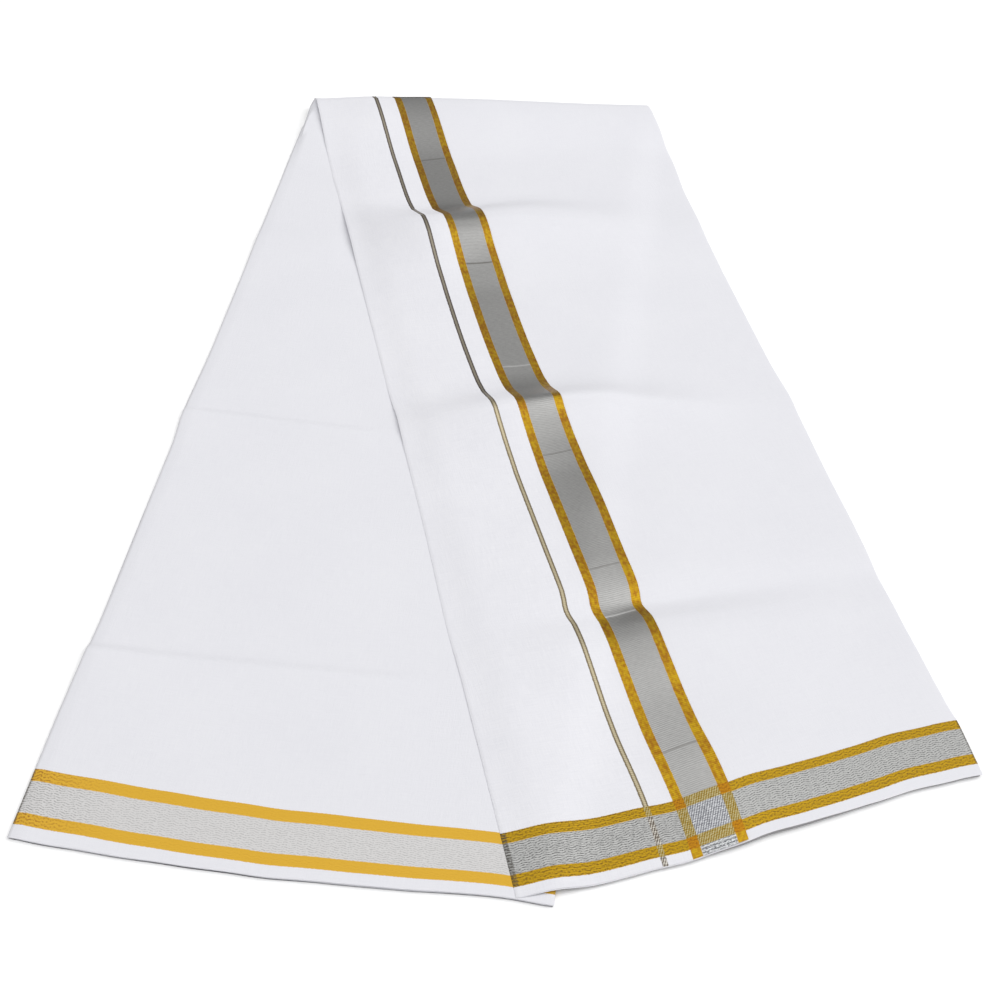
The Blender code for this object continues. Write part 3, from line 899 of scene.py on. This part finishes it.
def turn_point(angle, t):
    """A point on the back of the turn, angle round from its crest."""
    height = over_border(t, TURN_HEIGHTS)
    waist = TURN_WAIST * height
    rise = height - waist if angle < math.pi / 2 else waist
    s = down_strip(1, place_at("turn", angle, t), t, UPPER_LENGTH, upper_hem)
    return Vector((*on_floor(1, s, t), waist + rise * math.cos(angle)))


def upper_rows():
    """One entry for each row: its place, or how far it is round the turn."""
    flat = row_places(TURN_START, UPPER_LENGTH, PACKET_FOLDS)
    rows = [("flat", q) for q in flat]
    rows += [("crest", share) for share in CREST_SHARES]
    return rows + [("turn", math.radians(angle)) for angle in TURN_ANGLES]


def upper_grid():
    """Points, weave marks and resting points of the upper stretch's top leaf."""
    points, marks, lows = [], [], []
    wrapped = 0.0
    for kind, place in upper_rows():
        line, line_marks, line_lows = [], [], []
        columns = upper_columns(kind, place)
        if kind == "turn":
            wrapped += TURN_STEP
        for t in columns:
            if kind == "turn":
                point, low, s = turn_point(place, t), None, -wrapped
            else:
                q = place_at(kind, place, t)
                s = down_strip(1, q, t, UPPER_LENGTH, upper_hem)
                rest, turn, folds = upper_parts(q, s, t)
                point = Vector((*on_floor(1, s, t), rest + UPPER_STACK + turn + folds))
                low_height = rest + turn + LOWER_FOLLOW * max(folds, 0.0)
                low = Vector((point.x, point.y, min(low_height, point.z - THINNEST)))
            line.append(point)
            line_lows.append(low)
            from_fold = min(t - columns[0], columns[-1] - t)
            line_marks.append((upper_from_hem(s, t), selvedge(max(s, 0.0)) - t, from_fold))
        points.append(line)
        marks.append(line_marks)
        lows.append(line_lows)
    normals = grid_normals(points)
    for i, line in enumerate(lows):
        for j, low in enumerate(line):
            if low is None:
                line[j] = points[i][j] - normals[i][j] * UPPER_STACK
    return points, marks, lows, normals


def upper_rings(points, lows, normals):
    """Leaf edges: at the left the top leaf sits in the turned-back one, over a folded pair."""
    pitch = UPPER_STACK / UPPER_LEAVES
    last, right = len(points) - 1, len(points[0]) - 1
    kinds = [kind for kind, _ in upper_rows()]
    rings = []
    for leaf in range(UPPER_LEAVES):
        for step in EDGE_STEPS:
            ring = []
            for row, column in edge_places(points):
                top, low = points[row][column], lows[row][column]
                up = Vector((0, 0, 1)) if kinds[row] == "flat" else normals[row][column]
                out = outward(points, row, column)
                along = noise.noise(Vector((row * 0.04, column * 0.09, leaf * 5.0 + 9)))
                groove = step == 1.0 and leaf < UPPER_LEAVES - 1
                from_top = leaf == 0
                if row == 0:
                    reach = leaf_edge(step, 1, pitch) + pitch / 2
                    reach -= LEAF_GROOVE if groove else 0.0
                    reach -= UPPER_STAND_BACK + UPPER_HEM_WANDER * along if leaf else 0.0
                elif column == right:
                    reach = leaf_edge((leaf + step) / 2, 2, pitch)
                    from_top = leaf < 2
                    if not from_top:
                        reach = RIGHT_WANDER * along - RIGHT_STAND_BACK
                    if step == 1.0 and leaf == 1:
                        reach = -PAIR_GROOVE
                    reach += pitch
                elif leaf == 0:
                    reach = FOLD_ROOM - FOLD_GAP - (LEFT_GROOVE if groove else 0.0)
                else:
                    reach = FOLD_ROOM - FOLD_GAP / 2 + LEFT_WANDER * along
                    reach += leaf_edge((leaf - 1 + step) / 2, 2, pitch)
                thinned = min((top - low).length / UPPER_STACK, 1.0)
                drop = (leaf + step) * pitch * thinned
                if row == last:
                    inward = Vector((up.x, up.y, 0.0)).normalized()
                    point = top - inward * drop
                elif row > 0 and column == 0:
                    point = top.lerp(low, (leaf + step) / UPPER_LEAVES) + out * reach
                elif from_top:
                    point = top - up * drop + out * reach
                else:
                    point = low + up * (UPPER_STACK * thinned - drop) + out * reach
                ring.append(point)
            rings.append(ring)
    return rings


def foot_columns(q):
    """Distances across the underside: on the under stretch, then down beside it."""
    edge = under_side(q)
    left, right = upper_left(q) + LEFT_FOOT_INSET, upper_right(q) - RIGHT_FOOT_INSET
    high = min(edge + SIDE_CLEAR, right - FOOT_LEAST[0])
    low = min(high + SIDE_RAMP, right - FOOT_LEAST[1])
    on_under, on_ground = FOOT_COLUMNS
    return columns_between(left, high, on_under), columns_between(low, right, on_ground)


def upper_foot():
    """The underside: it rests on the under stretch and on the floor, and fills the turn."""
    kinds = upper_rows()
    flat = [place for kind, place in kinds if kind == "flat"]
    flat[0] -= FOOT_BACK
    behind = len(kinds) - len(flat) - 2
    places = flat + [STEP_START, STEP_END]
    places += [STEP_END + (TURN_FOOT - STEP_END) * (k + 1) / behind for k in range(behind)]
    rows = []
    for q in places:
        line = []
        on_under, on_ground = foot_columns(max(q, STEP_END))
        for n, t in enumerate(on_under + on_ground):
            s = down_strip(1, q, t, UPPER_LENGTH, upper_hem)
            if q <= STEP_START:
                s += over_border(t, TURN_BACKS)
            high = q > STEP_END and n < len(on_under)
            line.append(Vector((*on_floor(1, s, t), UNDER_STACK + GAP if high else 0.0)))
        rows.append(line)
    return rows


UPPER_BORDER = (0.0072, 0.0088, 0.0226, 0.0079)
ZARI_GOLD = ((0.480, 0.285, 0.008, 1), (0.200, 0.110, 0.010, 1))
ZARI_SILVER = ((0.450, 0.450, 0.440, 1), (0.120, 0.120, 0.120, 1))
ZARI_DASHES = 0.85
ZARI_METAL = 0.75
ZARI_ROUGHNESS = 0.38
INSIDE_FROM = 0.36
INSIDE_DEPTH = 0.003
INSIDE_SHADE = 0.6


def deep_cotton(name):
    """The upper stretch: its zari has a deeper, flecked gold and a dashed silver."""
    shader, hem, side, ground, relief = cotton(name)
    border = cross_border(shader, hem, side, UPPER_BORDER, ZARI_GOLD, ZARI_SILVER, ZARI_DASHES)
    # Painted shade: the lower leaves' edges at the hem, in the shade under the top leaf, are
    # darkened towards FOLD_SHADE.
    hem_slot_shade = shader.mark("down").between(INSIDE_FROM, 1.2) * hem.between(OUTSIDE, INSIDE_DEPTH)
    hem_slot_shade = hem_slot_shade * INSIDE_SHADE
    return bordered(shader, ground, relief, border, hem_slot_shade, ZARI_METAL, ZARI_ROUGHNESS)


points, marks, lows, normals = upper_grid()
upper_cloth = lay_grid("upper_cloth", points, marks)
close_stack(upper_cloth, upper_rings(points, lows, normals), upper_foot())
finish_cloth(upper_cloth, deep_cotton("upper_cotton"))
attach(upper_cloth, "root")
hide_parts("upper_stretch")

# ------------------------------------------------------------------ turned-back leaf
# The strip's last leaf, folded back over the left side of the upper stretch, so that its
# selvedge shows. Gold and silver metal thread is woven in along it: a wide band and a line.

LEAF_LIFT = 0.0004
LEAF_THICKNESS = 0.00028
FOLD_RADIUS = 0.00032
FOLD_ARC = (20, 45, 70, 95, 120, 145, 168)
FOLD_FLAP = 0.0014
LEAF_LAST_ANGLE = 124
EDGE_CURL = 0.0007
EDGE_CURL_FROM = 0.72
EDGE_CURL_RUN = 0.28
EDGE_CURL_LEAST = 0.6

BAND_GOLD = 0.0066
BAND_SILVER = 0.0228
BAND_WOBBLE = 0.0006
BAND_PITCH = 0.00155
LINE_FROM = 0.0515
LINE_WIDTH = 0.0036
LINE_EDGE = 0.0010
PALE_LINE_UNTIL = 0.440
PALE_LINE_SOFTNESS = 0.020

# Where the bands cross, the metal threads of both lie in a slanting mesh, and below the cross
# border the wide band's silver is ribbed.
STITCH_PITCH = 0.00165
STITCH_SLANT = 0.45
RIB_PITCH = 0.0026
SILVER_LINES = ((0.215, 0.212, 0.208, 1), (0.430, 0.428, 0.418, 1))
PLAIN_GOLD = ((0.430, 0.262, 0.006, 1), (0.285, 0.125, 0.005, 1))
CROSSED_GOLD = ((0.470, 0.205, 0.004, 1), (0.280, 0.105, 0.003, 1))
BRIGHT_MESH = ((0.190, 0.195, 0.215, 1), (0.620, 0.630, 0.650, 1))
MIXED_MESH = ((0.270, 0.170, 0.014, 1), (0.480, 0.415, 0.215, 1))
LINE_MESH = ((0.120, 0.095, 0.075, 1), (0.620, 0.590, 0.530, 1))
RIBBED_SILVER = ((0.130, 0.135, 0.145, 1), (0.660, 0.670, 0.680, 1))
LINE_EDGES = ((0.092, 0.072, 0.062, 1), (0.190, 0.150, 0.085, 1))
LINE_MIDDLES = ((0.290, 0.260, 0.200, 1), (0.520, 0.450, 0.300, 1))
CREASE_HIGHLIGHT = (0.800, 0.800, 0.790, 1)
LEAF_BUMP = 0.4

# Fine creases that cross the wide band, at these distances from the hem: a line of painted shade
# or, with a share below zero, a painted highlight.
FINE_COLUMNS = ("from_hem", "width", "share")
FINE_CREASES = (
    (0.816, 0.0016, 0.40),
    (0.630, 0.0018, 0.60),
    (0.490, 0.0016, -0.30),
    (0.375, 0.0014, 0.35),
    (0.250, 0.0014, 0.35),
    (0.2065, 0.0015, -0.50),
    (0.084, 0.0014, 0.40),
)

# Painted sheen and shade: the metal thread is painted duller or brighter from crease to crease,
# as each slope catches the light, and darker behind the turn, where it lies in shade.
SHEEN_COLUMNS = ("from_hem", "sheen")
BAND_SHEEN = (
    (0.000, 1.24), (0.080, 1.26), (0.150, 1.26), (0.180, 1.05), (0.204, 0.96), (0.2075, 1.22),
    (0.250, 1.16), (0.262, 1.02), (0.340, 0.98), (0.400, 1.06), (0.424, 1.10), (0.432, 0.90),
    (0.470, 1.02), (0.560, 0.98), (0.630, 1.00), (0.640, 1.08), (0.676, 1.08), (0.690, 0.88),
    (0.800, 0.90), (0.812, 0.80), (0.920, 0.84), (0.934, 0.82), (0.942, 0.22),
)
SHEEN_TOP = 1.5


def leaf_grid(points, marks, normals):
    """The leaf over the upper stretch's points, then round its left side and a little under."""
    kinds = upper_rows()
    last_angle = math.radians(LEAF_LAST_ANGLE)
    rows = [i for i, (kind, place) in enumerate(kinds) if kind != "turn" or place <= last_angle]
    laid, laid_marks = [], []
    for i in rows:
        up = normals[i][0]
        left = (points[i][0] - points[i][1]).normalized()
        centre = points[i][0] + up * LEAF_LIFT
        centre += left * (FOLD_ROOM - FOLD_RADIUS) - up * FOLD_RADIUS
        from_hem, from_edge, _ = marks[i][0]
        line = [centre - up * FOLD_RADIUS - left * FOLD_FLAP]
        line_marks = [(from_hem, from_edge + FOLD_ROOM, 0.0)]
        for angle in reversed(FOLD_ARC):
            turned = math.radians(angle)
            out, rise = FOLD_RADIUS * math.sin(turned), FOLD_RADIUS * math.cos(turned)
            line.append(centre + left * out + up * rise)
            line_marks.append((from_hem, from_edge + FOLD_ROOM - rise, 0.0))
        play = EDGE_CURL_LEAST + noise.noise(Vector((i * 0.09, 7.0, 0.5)))
        for j in range(LEAF_COLUMNS):
            curled = ease((j / (LEAF_COLUMNS - 1) - EDGE_CURL_FROM) / EDGE_CURL_RUN)
            lift = LEAF_LIFT + EDGE_CURL * curled * play
            line.append(points[i][j] + normals[i][j] * lift)
            line_marks.append(marks[i][j])
        laid.append(line)
        laid_marks.append(line_marks)
    return laid, laid_marks


def selvedge_cotton(name):
    """Cotton with the wide band and the thin line along its selvedge, and the cross border."""
    shader, hem, side, ground, relief = cotton(name, LEAF_LIT_WHITE)
    gold, silver, dash, fleck = cross_border(
        shader, hem, side, UPPER_BORDER, ZARI_GOLD, ZARI_SILVER, ZARI_DASHES)
    cross_gold, cross_silver = gold[0], silver[0]
    cross = cross_gold + cross_silver

    a = side + shader.speckle(side, hem, 700.0, 1.0) * BAND_WOBBLE
    band_silver = a.between(BAND_GOLD, BAND_GOLD + BAND_SILVER)
    band = a.between(OUTSIDE, 2 * BAND_GOLD + BAND_SILVER)
    line = a.between(LINE_FROM, LINE_FROM + LINE_WIDTH)
    line_core = a.between(LINE_FROM + LINE_EDGE, LINE_FROM + LINE_WIDTH - LINE_EDGE, 0.0007)
    below = hem.between(OUTSIDE, UPPER_BORDER[0])
    # The thin line is paler from the hem up to about the second packet fold.
    nearer_hem = hem.between(OUTSIDE, PALE_LINE_UNTIL, PALE_LINE_SOFTNESS)

    weft = hem.threads(BAND_PITCH)
    grouped = shader.speckle(side * 0.03, hem, 90.0) + 0.5
    short = shader.speckle(side * 0.25, hem, 1100.0, 1.0)
    sheen_lines = ((weft - 0.5) * (grouped * 2.4 - 0.75) + short * 1.1) * 0.5 + 0.5
    plain_silver = shader.blend(sheen_lines.clamped(), *SILVER_LINES)
    # Painted shade and painted highlights: each fine crease is a dark or bright line painted
    # across the silver.
    for crease in named(FINE_COLUMNS, FINE_CREASES):
        start = crease["from_hem"] - crease["width"] / 2
        here = hem.between(start, start + crease["width"], 0.0010)
        tone = FOLD_SHADE if crease["share"] > 0 else CREASE_HIGHLIGHT
        plain_silver = shader.blend(here * abs(crease["share"]), plain_silver, tone)
    mottle = shader.speckle(side * 1.4, hem * 0.8, 330.0) * 3.0 + 0.5
    mottle = (mottle + shader.speckle(side * 0.4, hem, 60.0) * 2.0).clamped()
    plain_gold = shader.blend(mottle, *PLAIN_GOLD)

    stitch = (side + hem * STITCH_SLANT).threads(STITCH_PITCH)
    broken = (stitch + short * 2.6 + (dash - 0.4) * 0.5).clamped()
    mixed_mesh = shader.blend(broken, *MIXED_MESH)
    knots = shader.speckle(side * 0.35, hem, 1700.0, 1.0)
    ribbed = ((hem.threads(RIB_PITCH) - 0.5) * 0.8 + knots * 4.5 + 0.5).clamped()

    line_colour = shader.layered(
        shader.blend(nearer_hem, *LINE_EDGES), (line_core, shader.blend(nearer_hem, *LINE_MIDDLES)),
        (cross_gold, mixed_mesh),
        ((cross_silver + below).clamped(), shader.blend(broken, *LINE_MESH)))
    # Painted sheen: the band's silver and gold are scaled by the sheen table.
    sheen = shader.ramp(hem, named(SHEEN_COLUMNS, BAND_SHEEN)) * SHEEN_TOP
    silver_here = shader.layered(
        shader.scaled(plain_silver, sheen), (below, shader.blend(ribbed, *RIBBED_SILVER)),
        (cross_silver, shader.blend(broken, *BRIGHT_MESH)), (cross_gold, mixed_mesh))
    gold_here = shader.layered(
        shader.scaled(plain_gold, sheen), (cross_silver, mixed_mesh),
        (cross_gold, shader.blend(fleck, *CROSSED_GOLD)))
    colour = shader.layered(
        ground, silver, gold, (line, line_colour), (band_silver, silver_here),
        (band * (1 - band_silver), gold_here))

    zari = (band + line + cross).clamped()
    height = relief * (1 - zari) + zari * (0.8 + weft * 0.4 - dash * cross_silver * 0.6)
    height = height + stitch * band * cross * 0.5
    return shader.finished(colour, zari, ZARI_METAL, ZARI_ROUGHNESS, height, LEAF_BUMP)


laid, laid_marks = leaf_grid(points, marks, normals)
border_leaf = lay_grid("border_leaf", laid, laid_marks)
pick(border_leaf)
wall = border_leaf.modifiers.new("wall", "SOLIDIFY")
wall.thickness = LEAF_THICKNESS
wall.offset = -1.0
bpy.ops.object.modifier_apply(modifier="wall")
finish_cloth(border_leaf, selvedge_cotton("selvedge_cotton"))
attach(border_leaf, "root")
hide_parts("turned_back_leaf")

# ------------------------------------------------------------------ floor, light and camera
# A plain white floor under soft studio light: a bright surround, and one large soft lamp at
# the right, level with the turn.

FLOOR_SIZE = 40
FLOOR_DROP = 0.0002
FLOOR_PAINT = {"Base Color": (0.94, 0.94, 0.94, 1), "Roughness": 0.9, "Specular IOR Level": 0.1}

bpy.ops.mesh.primitive_plane_add(size=FLOOR_SIZE, location=(0, 0, -FLOOR_DROP))
floor = bpy.context.object
floor.name = floor.data.name = "floor"
paint = ClothShader(bpy.data.materials.new("floor_white"))
paint.feed(paint.surface, FLOOR_PAINT.items())
floor.data.materials.append(paint.owner)

# The surround is brightest overhead, and brighter in front and at the right than behind and
# at the left, so that each crease and edge shows which way the cloth leans.
LOW_LIGHT = 0.30
HIGH_LIGHT = 1.55
LOW_UNTIL = 0.34
HIGH_FROM = 0.85
DIM_BEHIND = 0.44
BRIGHT_RIGHT = 0.36

sky = ClothShader(bpy.data.worlds.new("studio"), "Background")
direction = sky.add("ShaderNodeTexCoord", {}, output="Generated")
x, y, z = (sky.add("ShaderNodeSeparateXYZ", {}, direction, output=axis) for axis in "XYZ")
overhead = sky.add("ShaderNodeMapRange", {}, z, LOW_UNTIL, HIGH_FROM, LOW_LIGHT, HIGH_LIGHT)
strength = overhead * (y * -DIM_BEHIND + 1.0) * (x * BRIGHT_RIGHT + 1.0)
sky.feed(sky.surface, (("Strength", strength), ("Color", (1, 1, 1, 1))))
bpy.context.scene.world = sky.owner

LAMP_PLACE = Vector((3.4, 0.5, 2.6))
LAMP_SIZE = 2.0
LAMP_POWER = 38.0
lamp_data = bpy.data.lights.new("soft_lamp", "AREA")
lamp_data.shape = "SQUARE"
lamp_data.size = LAMP_SIZE
lamp_data.energy = LAMP_POWER
lamp = bpy.data.objects.new("soft_lamp", lamp_data)
lamp.location = LAMP_PLACE
lamp.rotation_euler = LAMP_PLACE.to_track_quat("Z", "Y").to_euler()
bpy.context.collection.objects.link(lamp)

EYE_FROM_TURN = Vector((0.0816, -1.5298, 0.829))
HEADING = math.radians(4.55)
PITCH = math.radians(41.0)
ROLL = math.radians(3.45)
LENS = 62.39

ahead = Vector((math.sin(HEADING), math.cos(HEADING), 0.0))
right = Vector((ahead.y, -ahead.x, 0.0))
sight = ahead * math.cos(PITCH) - Vector((0, 0, 1)) * math.sin(PITCH)
upright = right.cross(sight)
rolled_right = right * math.cos(ROLL) + upright * math.sin(ROLL)
rolled_up = upright * math.cos(ROLL) - right * math.sin(ROLL)

camera_data = bpy.data.cameras.new("camera")
camera_data.lens = LENS
camera = bpy.data.objects.new("camera", camera_data)
eye = Vector((*TURN_LEFT_END, 0.0)) + EYE_FROM_TURN
turned = Matrix((rolled_right, rolled_up, -sight)).transposed()
camera.matrix_world = Matrix.Translation(eye) @ turned.to_4x4()
bpy.context.collection.objects.link(camera)
bpy.context.scene.camera = camera
bpy.context.scene.view_settings.view_transform = "Standard"
